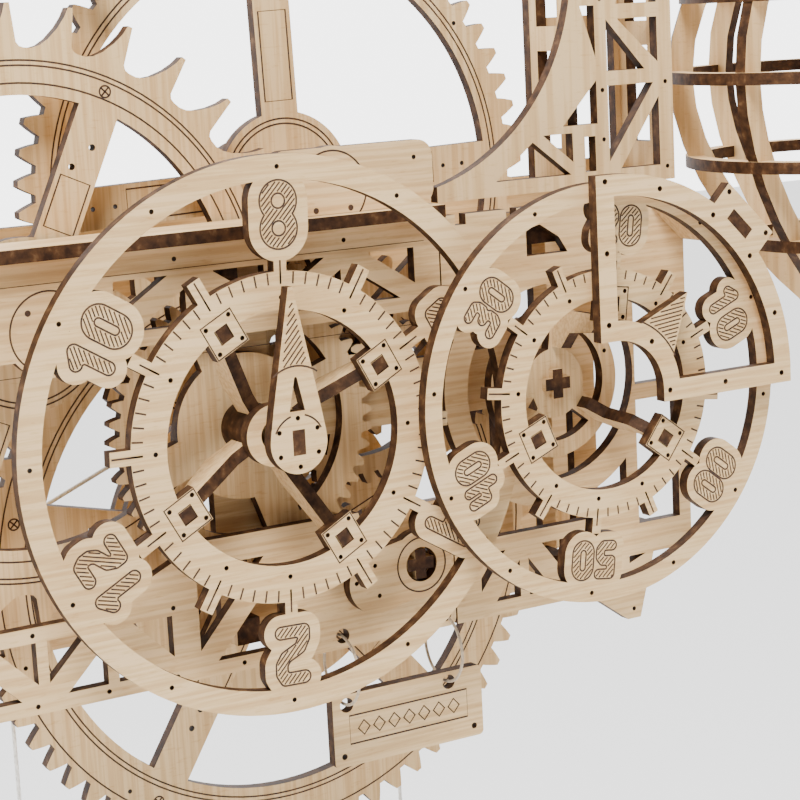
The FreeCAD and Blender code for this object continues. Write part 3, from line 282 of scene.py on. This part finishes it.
SPECIAL = {
    "hour_dial_arms": hour_arm_plywood,
    "minute_dial_arms": minute_arm_plywood,
    "balloon_ribs": rib_plywood,
    "balloon_rings": level_plywood,
    "balloon_arm": level_plywood,
    "balloon_basket": level_plywood,
    "front_shelf": level_plywood,
    "frame_posts": side_plywood,
    "tower_side_walls": side_plywood,
    "hour_post": side_plywood,
    "balloon_mast": side_plywood,
    "window_bracket": window_bracket_plywood,
    "tower_front": tower_plywood,
    "tower_back": tower_plywood,
    "pendulum_rod": tower_plywood,
    "cord_over_drum": white_thread,
    "nameplate_ties": tie_thread,
}
TURNING = ("wheel", "gear", "pinion", "drum", "pulley", "hub")
for name, node in nodes.items():
    material = SPECIAL.get(name)
    if name.endswith("_arbor"):
        material = arbor_plywood
    elif material is None:
        material = wheel_plywood if any(word in name for word in TURNING) else flat_plywood
    node.data.materials.clear()
    node.data.materials.append(material)


# ------------------------------------------------------------------ engraving
def polar(radius, angle, centre=(0.0, 0.0)):
    a = math.radians(angle)
    return (centre[0] + radius * math.cos(a), centre[1] + radius * math.sin(a))


class Engraving:
    """Thin burnt ribbons on the front face of one plate, joined in one piece."""

    def __init__(self, name, node, body, centre, turn=0.0, layer=None):
        self.name, self.body, self.centre, self.turn = name, body, centre, turn
        self.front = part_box(node)[0].y / MM if layer is None else layer
        self.mesh = bmesh.new()

    def put(self, point, y):
        """Vertex at a point (across, up) that is turned about the centre."""
        a = math.radians(self.turn)
        x = point[0] * math.cos(a) - point[1] * math.sin(a) + self.centre[0]
        z = point[0] * math.sin(a) + point[1] * math.cos(a) + self.centre[1]
        return self.mesh.verts.new((x * MM, y * MM, z * MM))

    def line(self, points, width=LINE, closed=False):
        """Closed strip of rectangular section that follows the points."""
        count = len(points)
        rows = []
        for i, (x, z) in enumerate(points):
            before = points[i - 1] if closed or i else points[i]
            after = points[(i + 1) % count] if closed or i < count - 1 else points[i]
            dx, dz = after[0] - before[0], after[1] - before[1]
            length = math.hypot(dx, dz) or 1.0
            sx, sz = -dz / length * width / 2, dx / length * width / 2
            corners = [((x + sx, z + sz), self.front - PROUD), ((x - sx, z - sz), self.front - PROUD),
                       ((x - sx, z - sz), self.front + SUNK), ((x + sx, z + sz), self.front + SUNK)]
            rows.append([self.put(*corner) for corner in corners])
        for i in range(count if closed else count - 1):
            here, there = rows[i], rows[(i + 1) % count]
            for k in range(4):
                self.mesh.faces.new((here[k], here[(k + 1) % 4], there[(k + 1) % 4], there[k]))
        if not closed:
            self.mesh.faces.new(rows[0])
            self.mesh.faces.new(rows[-1])

    def arc(self, radius, start=0.0, end=360.0, width=LINE, centre=(0.0, 0.0)):
        whole = abs(end - start) >= 360.0
        steps = max(6, int(abs(end - start) / ARC_STEP))
        last = steps if whole else steps + 1
        self.line([polar(radius, start + (end - start) * i / steps, centre) for i in range(last)],
                  width, whole)

    def spoke(self, inner, outer, angle):
        self.line([polar(inner, angle), polar(outer, angle)])

    def dot(self, centre, radius):
        """Burnt dot, drawn as a short fat ring with no hole left in it."""
        self.arc(radius / 2, width=radius * 0.98, centre=centre)

    def finish(self):
        bmesh.ops.recalc_face_normals(self.mesh, faces=self.mesh.faces[:])
        data = bpy.data.meshes.new(self.name)
        self.mesh.to_mesh(data)
        self.mesh.free()
        data.materials.append(brown)
        piece = bpy.data.objects.new(self.name, data)
        bpy.context.scene.collection.objects.link(piece)
        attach(piece, self.body)


# Numerals: centre lines across and up, in tenths of the numeral's height.
STROKES = {
    "0": [(0.0, 3.2), (0.0, 6.8)],
    "1": [(-1.6, 7.2), (0.4, 8.7), (0.4, 1.3)],
    "2": [(-1.9, 8.6), (1.3, 8.6), (1.9, 7.6), (1.9, 6.3), (1.2, 5.2), (-1.2, 4.0),
          (-1.9, 2.6), (-1.9, 1.4), (1.9, 1.4)],
    "3": [(-1.8, 8.6), (1.2, 8.6), (1.8, 7.6), (1.8, 6.2), (0.9, 5.1), (-0.3, 5.0),
          (0.9, 4.9), (1.8, 3.8), (1.8, 2.4), (1.2, 1.4), (-1.8, 1.4)],
    "4": [(-1.6, 8.6), (-1.6, 4.4), (1.6, 4.4), (1.6, 8.6), (1.6, 1.3)],
    "5": [(1.9, 8.6), (-1.7, 8.6), (-1.7, 5.2), (0.8, 5.2), (1.7, 4.2), (1.7, 2.4),
          (0.8, 1.4), (-1.8, 1.4)],
    "6": [(1.4, 8.5), (-1.6, 4.5), (-1.4, 2.2), (1.4, 2.2), (1.5, 4.6)],
    "8": [(0.0, 3.0), (0.0, 7.0)],
}
# Half widths, heights and places of the numerals, as fractions of the dial's dot circle.
ROUND_NUMERAL = {"8": 0.0757, "0": 0.0643}
STROKE_HALF = 0.0243
LONE_HEIGHT, PAIR_HEIGHT = 0.251, 0.2
LONE_MIDDLE, PAIR_MIDDLE = 0.826, 0.834
DIGIT_PITCH = 0.137
# Grid of the outlines and step along a hatch line, in millimetres.
OUTLINE_STEP = 0.4
HATCH_STEP = 0.12
# A loop with no more points than this is a slip of the grid, and is left out.
SHORTEST_LOOP = 5


def to_segment(x, z, a, b):
    """Distance from a point to a straight stroke."""
    dx, dz = b[0] - a[0], b[1] - a[1]
    share = ((x - a[0]) * dx + (z - a[1]) * dz) / (dx * dx + dz * dz)
    share = min(1.0, max(0.0, share))
    return math.hypot(x - a[0] - share * dx, z - a[1] - share * dz)


def numeral_shapes(text, size):
    """For each digit, its box and a function that is negative inside its strokes."""
    lone = len(text) == 1
    height = size * (LONE_HEIGHT if lone else PAIR_HEIGHT)
    middle = size * (LONE_MIDDLE if lone else PAIR_MIDDLE)
    half = size * STROKE_HALF
    shapes = []
    for i, digit in enumerate(text):
        across = (i - (len(text) - 1) / 2) * size * DIGIT_PITCH
        points = [(across + sx * height / 10, middle - height / 2 + sz * height / 10)
                  for sx, sz in STROKES[digit]]
        outer = size * ROUND_NUMERAL.get(digit, STROKE_HALF)

        def inside(x, z, digit=digit, points=points, outer=outer):
            if digit == "8":
                near = min(math.dist((x, z), p) for p in points)
            else:
                near = min(to_segment(x, z, a, b) for a, b in zip(points, points[1:]))
            edge = near - outer
            if digit in ROUND_NUMERAL:
                edge = max(edge, outer - 2 * half - near)
            return edge

        margin = outer + OUTLINE_STEP * 2
        box = (min(p[0] for p in points) - margin, min(p[1] for p in points) - margin,
               max(p[0] for p in points) + margin, max(p[1] for p in points) + margin)
        shapes.append((box, inside))
    return shapes


def outlines(box, inside):
    """Closed loops along the edge of a shape, walked over a square grid."""
    step = OUTLINE_STEP
    columns = int((box[2] - box[0]) / step) + 1
    rows = int((box[3] - box[1]) / step) + 1
    values = {(i, k): inside(box[0] + i * step, box[1] + k * step)
              for i in range(columns + 1) for k in range(rows + 1)}
    links = {}

    def cut(a, b):
        """Where the shape's edge crosses the grid line from a to b."""
        share = values[a] / (values[a] - values[b])
        return (box[0] + (a[0] + share * (b[0] - a[0])) * step,
                box[1] + (a[1] + share * (b[1] - a[1])) * step)

    places = {}
    for i in range(columns):
        for k in range(rows):
            corners = [(i, k), (i + 1, k), (i + 1, k + 1), (i, k + 1)]
            crossed = []
            for a, b in zip(corners, corners[1:] + corners[:1]):
                if (values[a] < 0) != (values[b] < 0):
                    key = (min(a, b), max(a, b))
                    places[key] = cut(*key)
                    crossed.append(key)
            for first, second in zip(crossed[::2], crossed[1::2]):
                links.setdefault(first, []).append(second)
                links.setdefault(second, []).append(first)
    loops = []
    while links:
        start = next(iter(links))
        loop, here = [], start
        while here in links:
            loop.append(places[here])
            onward = [key for key in links.pop(here) if key in links]
            here = onward[0] if onward else None
        if len(loop) > SHORTEST_LOOP:
            loops.append(loop)
    return loops


def hatch(engraving, box, inside, turn=0.0, pitch=HATCH_PITCH, angle=HATCH_ANGLE):
    """Slanting lines over a shape, kept a little inside its edge."""
    ux, uz = polar(1.0, angle)
    middle = ((box[0] + box[2]) / 2, (box[1] + box[3]) / 2)
    reach = math.hypot(box[2] - box[0], box[3] - box[1]) / 2
    for k in range(-int(reach / pitch), int(reach / pitch) + 1):
        start = None
        steps = int(2 * reach / HATCH_STEP)
        for i in range(steps + 1):
            along = -reach + i * HATCH_STEP
            x = middle[0] + along * ux - k * pitch * uz
            z = middle[1] + along * uz + k * pitch * ux
            if inside(x, z) < -HATCH_WIDTH and i < steps:
                start = start or (x, z)
                end = (x, z)
            elif start:
                if math.dist(start, end) > HATCH_WIDTH * 2:
                    ends = [rotate(start, turn), rotate(end, turn)]
                    engraving.line(ends, HATCH_WIDTH)
                start = None


def rotate(point, angle):
    a = math.radians(angle)
    return (point[0] * math.cos(a) - point[1] * math.sin(a),
            point[0] * math.sin(a) + point[1] * math.cos(a))


# Radii of a dial's ticks and stub lines, as fractions of its dot circle.
TICK_IN, TICK_OUT = 0.573, 0.62
NUMERAL_STUB, HALFWAY_STUB = 0.695, 0.66
# Gaps left between a line and the edge of the wood, in millimetres.
TICK_GAP = 0.15
LUG_GAP = 0.5


def engrave_dial(name, node, body, centre, turn, size, numbers, lug_angles, lug, tick_step):
    """Ticks, stub lines, lug frames and hatched numerals of a dial.

    size is the radius of the dot circle; lug is the side of a lug and its radius.
    """
    e = Engraving(name, node, body, centre, turn)
    tick_in, tick_out = size * TICK_IN, size * TICK_OUT
    for k in range(int(360 / tick_step)):
        e.spoke(tick_in, tick_out - TICK_GAP, k * tick_step)
    for k in range(6):
        e.spoke(tick_in, size * NUMERAL_STUB, 60 * k)
        e.spoke(tick_in, size * HALFWAY_STUB, 60 * k + 30)
    lug_side, lug_radius = lug[0] - LUG_GAP, lug[1]
    for angle in lug_angles:
        corner = lug_side / 2
        corners = [(-corner, -corner), (corner, -corner), (corner, corner), (-corner, corner)]
        middle = polar(lug_radius, angle)
        square = [rotate(p, angle) for p in corners]
        e.line([(middle[0] + x, middle[1] + z) for x, z in square], closed=True)
    for k, text in enumerate(numbers):
        for box, inside in numeral_shapes(text, size):
            for loop in outlines(box, inside):
                e.line([rotate(p, 60 * k) for p in loop], closed=True)
            hatch(e, box, inside, turn=60 * k)
    e.finish()


# Radius of each dial's dot circle, and its rotation at rest in degrees.
HOUR_SIZE, MINUTE_SIZE = 60.0, 48.03
HOUR_TURN, MINUTE_TURN = -1.74, -7.57
engrave_dial("hour_dial_engraving", "hour_dial", "hour_dial", HOUR, HOUR_TURN, HOUR_SIZE,
             ["8", "10", "12", "2", "4", "6"], (30, 120, 210, 300), (8.8, 28.24), 5.0)
engrave_dial("minute_dial_engraving", "minute_dial", "minute_dial", MINUTE, MINUTE_TURN,
             MINUTE_SIZE, ["20", "30", "40", "50", "00", "10"], (90, 210, 330), (8.6, 21.5), 6.0)


# Hour hand: heights of its tip and of its widest place, with half its width at each.
HAND_TIP, HAND_TIP_HALF = 34.3, 0.55
HAND_WAIST, HAND_WAIST_HALF = 8.0, 5.75
HAND_ARC = 9.0
HAND_HATCH_TOP = 33.0
HAND_HATCH_GAP = 0.5
HUB_ARC = 6.2


def hand_inside(x, z):
    """Negative on the tapering part of the hour hand above its engraved arc."""
    slope = (HAND_WAIST_HALF - HAND_TIP_HALF) / (HAND_TIP - HAND_WAIST)
    half = HAND_TIP_HALF + (HAND_TIP - z) * slope
    arc = math.hypot(x, z - HAND_WAIST) - HAND_ARC
    return max(abs(x) - half + HAND_HATCH_GAP, -arc, z - HAND_HATCH_TOP)


hand = Engraving("hour_hand_engraving", "hour_hand", "root", HOUR)
hatch(hand, (-5.0, 12.0, 5.0, 34.0), hand_inside, pitch=1.0)
hand.arc(HAND_ARC, 53.0, 127.0, centre=(0.0, HAND_WAIST))
hand.arc(HUB_ARC, 25.0, 74.0)
hand.arc(HUB_ARC, 106.0, 155.0)
hand.finish()


# Window pointer: radii of its foot, its tip, its engraved arc and the start of its hatch.
POINTER_FOOT, POINTER_TIP = 17.0, 30.8
POINTER_ARC, POINTER_HATCH_START = 18.4, 18.6


def pointer_inside(x, z):
    """Negative on the window frame's pointer, outside its engraved arc."""
    corners = [polar(POINTER_FOOT, 70), polar(POINTER_TIP, 47), polar(POINTER_FOOT, 22)]
    edges = []
    for a, b in zip(corners, corners[1:] + corners[:1]):
        dx, dz = b[0] - a[0], b[1] - a[1]
        edges.append(((x - a[0]) * -dz + (z - a[1]) * dx) / math.hypot(dx, dz))
    return max(max(edges), POINTER_HATCH_START - math.hypot(x, z))


window = Engraving("window_pointer_engraving", "window_frame", "root", MINUTE)
hatch(window, (8.0, 8.0, 22.0, 24.0), pointer_inside, pitch=0.95, angle=6.0)
window.arc(POINTER_ARC, 25.0, 67.0)
window.finish()


# ------------------------------------------------------- wheels and frame lines
def cross_mark(e, place, radius=1.3):
    """Ring with a cross in it, an assembly mark."""
    e.arc(radius, centre=place)
    for angle in (45.0, 135.0):
        e.line([polar(-radius, angle, place), polar(radius, angle, place)])


PANEL_GAP = 1.2


def spoke_panel(e, angle, inner, outer, width):
    """Long frame engraved on a spoke of the given width."""
    half = width / 2 - PANEL_GAP
    corners = [(inner, -half), (outer, -half), (outer, half), (inner, half)]
    e.line([rotate(p, angle) for p in corners], closed=True)


def engrave_wheel(node, centre, circles, spokes, first, panel, mark_radius=None):
    """Circles of a wheel, and on each spoke a panel and maybe a cross mark.

    first is the direction of the first spoke; panel is its inner end, outer end
    and the width of the spoke.
    """
    e = Engraving(node + "_engraving", node, node, centre)
    for radius in circles:
        e.arc(radius)
    for k in range(spokes):
        angle = first + 360 / spokes * k
        spoke_panel(e, angle, *panel)
        if mark_radius:
            cross_mark(e, polar(mark_radius, angle))
    e.finish()


engrave_wheel("escape_wheel", ESCAPE, (57.8, 56.7, 52.9, 18.4, 17.2), 4, 65.5,
              (22.0, 34.0, 9.7), mark_radius=54.6)
engrave_wheel("centre_wheel", CENTRE, (58.2, 59.4, 15.8, 14.6), 4, 1.5, (20.0, 41.0, 9.6))
engrave_wheel("great_wheel", GREAT, (63.6, 64.8, 71.0, 15.4, 14.2), 5, -121.5,
              (20.0, 41.0, 10.0), mark_radius=68.2)


def bearing_cap(name, node, centre, layer=None):
    """Ring and four dots over the end of an arbor in a closed bearing."""
    e = Engraving(name, node, "root", centre, layer=layer)
    e.arc(8.9)
    for k in range(4):
        e.dot(polar(6.4, 45 + 90 * k), 0.7)
    e.finish()


truss_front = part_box("upper_front_truss")[0].y / MM
bearing_cap("escape_bearing_engraving", "upper_front_truss", ESCAPE)
bearing_cap("centre_bearing_engraving", "bearing_cocks", CENTRE, layer=truss_front)

winding = Engraving("winding_bearing_engraving", "winding_bearing_plate", "root", WINDING)
winding.arc(6.6)
winding.finish()


def engrave_beam():
    """Thin line along the top and one along the bottom of the upper beam."""
    node = "upper_front_truss"
    low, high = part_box(node)
    e = Engraving("upper_truss_engraving", node, "root", (0.0, 0.0))
    end_gap, top_gap, bottom_gap = 4, 5.2, 1.0
    left, right = low.x / MM + end_gap, high.x / MM - end_gap
    for z in (high.z / MM - top_gap, low.z / MM + bottom_gap):
        e.line([(left, z), (right, z)], width=0.16)
    e.finish()


engrave_beam()


def engrave_nameplate():
    """Plain border and a row of lozenges, in place of any wording."""
    low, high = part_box("nameplate")
    middle = ((low.x + high.x) / 2 / MM, (low.z + high.z) / 2 / MM)
    half_x, half_z = (high.x - low.x) / 2 / MM, (high.z - low.z) / 2 / MM
    e = Engraving("nameplate_engraving", "nameplate", "nameplate", middle)
    side, top = half_x - 4.4, half_z - 5.4
    e.line([(-side, -top), (side, -top), (side, top), (-side, top)], closed=True)
    pitch, across, up = 4.2, 1.6, 1.8
    for k in range(-3, 4):
        x = k * pitch
        e.line([(x - across, 0), (x, up), (x + across, 0), (x, -up)], closed=True)
    e.finish()


engrave_nameplate()


# -------------------------------------------------------------------- threads
THREAD_ROWS, THREAD_SIDES = 240, 16
LAY_LENGTH = 0.0035
GROOVE_FLOOR = 0.86


def hanging_thread(name, node):
    """Two-strand thread that hangs straight from the clock down to its weight."""
    low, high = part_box(node)
    x, y = (low.x + high.x) / 2, (low.y + high.y) / 2
    radius = (high.x - low.x) / 2
    length = high.z - low.z
    rows, sides = THREAD_ROWS, THREAD_SIDES
    data = bmesh.new()
    rings = []
    for i in range(rows + 1):
        z = high.z - length * i / rows
        twist = 2 * math.pi * (high.z - z) / LAY_LENGTH
        ring = []
        for k in range(sides):
            a = 2 * math.pi * k / sides
            groove = GROOVE_FLOOR + (1 - GROOVE_FLOOR) * abs(math.cos(a - twist))
            ring.append(data.verts.new((x + radius * groove * math.cos(a),
                                        y + radius * groove * math.sin(a), z)))
        rings.append(ring)
    for upper, lower in zip(rings, rings[1:]):
        for k in range(sides):
            data.faces.new((upper[k], upper[(k + 1) % sides], lower[(k + 1) % sides], lower[k]))
    data.faces.new(rings[0])
    data.faces.new(rings[-1])
    bmesh.ops.recalc_face_normals(data, faces=data.faces[:])
    mesh = bpy.data.meshes.new(name)
    data.to_mesh(mesh)
    data.free()
    mesh.materials.append(white_thread)
    mesh.shade_smooth()
    piece = bpy.data.objects.new(name, mesh)
    bpy.context.scene.collection.objects.link(piece)
    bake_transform(piece)
    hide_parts(node)


hanging_thread("drive_thread", "drive_cord")
hanging_thread("counter_thread", "counter_cord")


# --------------------------------------------------------- floor, light, camera
FLOOR_SIZE = 8.0
FLOOR_DROP = 0.25
AIM = (0, -0.05, 0)
CAMERA_PLACE = (-0.2165, -0.4253, 0.0932)
CAMERA_FORWARD = (0.493, 0.8517, -0.1774)
CAMERA_UP = (0.1336, 0.1274, 0.9828)
CAMERA_LENS = 98.7


def make_floor():
    """Pale floor, well below the weights."""
    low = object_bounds()[0]
    bpy.ops.mesh.primitive_plane_add(size=FLOOR_SIZE, location=(0, 0, low.z - FLOOR_DROP))
    floor = bpy.context.object
    floor.name = "floor"
    s = Shader("pale_floor", 0.9)
    s.surface.inputs["Base Color"].default_value = (0.93, 0.93, 0.93, 1.0)
    floor.data.materials.append(s.material)


def area_light(name, place, size, power):
    """Square lamp aimed near the middle of the clock."""
    data = bpy.data.lights.new(name, "AREA")
    data.size = size
    data.energy = power
    lamp = bpy.data.objects.new(name, data)
    lamp.location = place
    lamp.rotation_euler = (Vector(AIM) - Vector(place)).to_track_quat("-Z", "Y").to_euler()
    bpy.context.scene.collection.objects.link(lamp)


def make_camera():
    """Camera close to the dials, a little above and to the left, looking in and down."""
    hour_front = Vector((HOUR[0] * MM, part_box("hour_dial")[0].y, HOUR[1] * MM))
    forward = Vector(CAMERA_FORWARD).normalized()
    up = Vector(CAMERA_UP)
    right = forward.cross(up).normalized()
    up = right.cross(forward)
    data = bpy.data.cameras.new("camera")
    data.lens = CAMERA_LENS
    data.sensor_width = 36.0
    data.clip_start = 0.01
    camera = bpy.data.objects.new("camera", data)
    turn = Matrix((right, up, -forward)).transposed().to_4x4()
    camera.matrix_world = Matrix.Translation(hour_front + Vector(CAMERA_PLACE)) @ turn
    bpy.context.scene.collection.objects.link(camera)
    bpy.context.scene.camera = camera


def make_world():
    """Bright backdrop behind the clock and a darker room in front of it."""
    world = bpy.data.worlds.new("studio")
    world.use_nodes = True
    tree = world.node_tree
    direction = tree.nodes.new("ShaderNodeTexCoord")
    split = tree.nodes.new("ShaderNodeSeparateXYZ")
    strength = tree.nodes.new("ShaderNodeMapRange")
    for socket, value in (("From Min", -0.2), ("From Max", 0.45), ("To Min", 0.2), ("To Max", 4.5)):
        strength.inputs[socket].default_value = value
    tree.links.new(direction.outputs["Generated"], split.inputs["Vector"])
    tree.links.new(split.outputs["Y"], strength.inputs["Value"])
    tree.links.new(strength.outputs["Result"], tree.nodes["Background"].inputs["Strength"])
    tree.nodes["Background"].inputs["Color"].default_value = (1.0, 1.0, 1.0, 1.0)
    bpy.context.scene.world = world


make_floor()
make_world()
area_light("key", (-0.45, -0.6, 0.95), size=0.5, power=38.0)
area_light("fill", (0.9, -0.7, 0.2), size=1.0, power=3.0)
make_camera()
